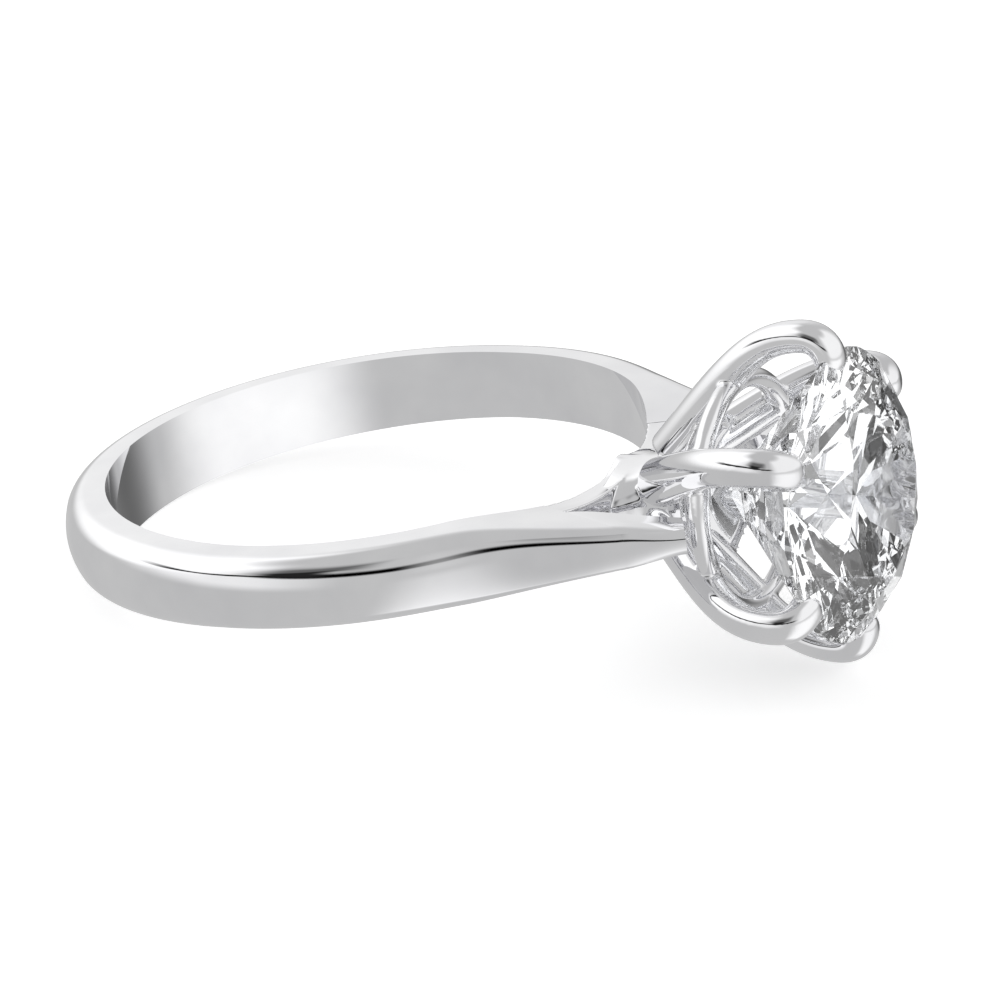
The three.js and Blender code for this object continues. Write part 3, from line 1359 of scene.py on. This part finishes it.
@dataclass
class Studio:
    """White sweep, soft light tent, cards for the stone, and camera.

    The tent alone lights the metal and is mirrored in it. The cards are seen only
    through the stone. The sweep backs the ring and takes its shadow. The camera is
    aimed at a point beside the finger hole's centre.
    """

    centre: Vector
    azimuth: float = 28.22
    elevation: float = 24.39
    roll: float = -0.32
    distance_mm: float = 99.5
    lens: float = 117.76
    sensor_mm: float = 36.0
    clip_m: tuple = (0.001, 50.0)
    aim_mm: tuple = (3.3305, 1.4449, -0.6661)
    sweep_radius: float = 3.0
    sweep_height: float = 2.0
    flat_share: float = 0.75
    hub_share: float = 0.02
    card_radius: float = 0.5
    light_bounces: int = 20

    def build(self) -> None:
        """Sets the sweep, the light tent and the camera."""
        self._sweep()
        self._cards()
        self._tent()
        self._camera()
        scene = bpy.context.scene
        scene.view_settings.view_transform = "Standard"
        # light is turned many times inside a brilliant before it leaves
        scene.cycles.max_bounces = self.light_bounces
        scene.cycles.glossy_bounces = self.light_bounces
        scene.cycles.transmission_bounces = self.light_bounces

    def _sweep(self) -> None:
        """Lays a round white floor that turns up into a wall.

        Its profile is flat out to three quarters of its radius and then follows a
        quarter of an ellipse up to the wall's top.
        """
        level = float(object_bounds()[0][2])
        flat = self.sweep_radius * self.flat_share
        rise = np.radians(np.linspace(0, 90, 16))
        bend = flat + (self.sweep_radius - flat) * np.sin(rise)
        out = np.concatenate([[flat * self.hub_share], bend])
        up = np.concatenate([[0.0], self.sweep_height * (1 - np.cos(rise))]) + level
        turn = np.linspace(0, 2 * math.pi, 64, endpoint=False)
        loops = np.stack(
            [
                out[:, None] * np.cos(turn),
                out[:, None] * np.sin(turn),
                np.repeat(up[:, None], len(turn), axis=1),
            ],
            axis=2,
        )
        mesh = bpy.data.meshes.new("sweep")
        hub = np.arange(len(turn))[None, :]
        faces = [*quad_faces(len(out), len(turn), closed=False).tolist(), *hub.tolist()]
        mesh.from_pydata(loops.reshape(-1, 3), [], faces)
        sweep = show("sweep", mesh)
        for kind in ("glossy", "transmission", "diffuse", "shadow"):
            setattr(sweep, f"visible_{kind}", False)
        dress(sweep, Finish.FLOOR)
        sweep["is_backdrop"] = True

    def _cards(self) -> None:
        """Stands a ball of cards round the ring that only the stone sees through."""
        rise = np.radians(np.linspace(-89, 89, 40))[:, None]
        turn = np.linspace(0, 2 * math.pi, 80, endpoint=False)[None, :]
        level = np.cos(rise)
        parts = np.broadcast_arrays(level * np.cos(turn), level * np.sin(turn), np.sin(rise))
        skin = Skin()
        skin.tube(np.stack(parts, axis=2) * self.card_radius)
        cards = show("cards", skin.mesh("cards"))
        for kind in ("camera", "diffuse", "glossy", "volume_scatter", "shadow"):
            setattr(cards, f"visible_{kind}", False)
        dress(cards, Finish.CARDS)
        cards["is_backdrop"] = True

    def _toward_camera(self, elevation: float) -> Vector:
        """Gives a direction over the camera's side of the ring.

        Args:
            elevation: Its elevation in degrees.

        Returns:
            A unit vector.
        """
        turn, rise = math.radians(self.azimuth), math.radians(elevation)
        level = math.cos(rise)
        return Vector((math.sin(turn) * level, -math.cos(turn) * level, math.sin(rise)))

    def _tent(self) -> None:
        """Lights the scene from a tent of soft panels."""
        world = bpy.data.worlds.new("tent")
        bpy.context.scene.world = world
        world.use_nodes = True
        tree = world.node_tree
        place = add_node(tree, "ShaderNodeTexCoord").outputs["Generated"]
        turned = add_node(
            tree,
            "ShaderNodeVectorRotate",
            {"Vector": place, "Axis": (0.0, 0.0, 1.0), "Angle": math.radians(90 - self.azimuth)},
        ).outputs["Vector"]
        parts = add_node(tree, "ShaderNodeSeparateXYZ", {0: turned})
        level = add_node(
            tree, "ShaderNodeCombineXYZ", {0: parts.outputs["X"], 1: parts.outputs["Y"]}
        ).outputs[0]
        direction = add_node(
            tree, "ShaderNodeVectorMath", {0: level}, operation="NORMALIZE"
        ).outputs["Vector"]
        light = add_node(tree, "ShaderNodeValue").outputs[0]
        light.default_value = TENT_BASE
        for panel in TENT:
            light = panel.cover(tree, light, direction, parts.outputs["Z"])
        tree.links.new(light, tree.nodes["Background"].inputs["Color"])

    def _camera(self) -> None:
        """Stands the camera off the ring and aims it."""
        data = bpy.data.cameras.new("camera")
        data.lens = self.lens
        data.sensor_width = self.sensor_mm
        data.clip_start, data.clip_end = self.clip_m
        camera = bpy.data.objects.new("camera", data)
        bpy.context.scene.collection.objects.link(camera)
        toward = self._toward_camera(self.elevation)
        aim = self.centre + Vector(self.aim_mm) * MM
        turn = toward.to_track_quat("Z", "Y").to_matrix().to_4x4()
        place = Matrix.Translation(aim + toward * self.distance_mm * MM)
        camera.matrix_world = place @ turn @ Matrix.Rotation(math.radians(self.roll), 4, "Z")
        bpy.context.scene.camera = camera


def main() -> None:
    """Builds the ring's looks and the studio."""
    logging.basicConfig(level=logging.INFO)
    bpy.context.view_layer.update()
    band, head, stone = BandSize(), HeadSize(), StoneSize()
    placement = Placement(frame["record"], stone.table_height)
    plan = BandPlan(band, head, stone)
    Studio(placement.centre).build()
    stone_piece = Stone().build()
    band_pieces = Band(plan, placement).build()
    head_piece = Head(plan, stone, placement).build(stone_piece)
    for piece in (stone_piece, *band_pieces, head_piece):
        LOG.info("%s has %d points", piece.name, len(piece.data.vertices))


if __name__ == "__main__":
    main()
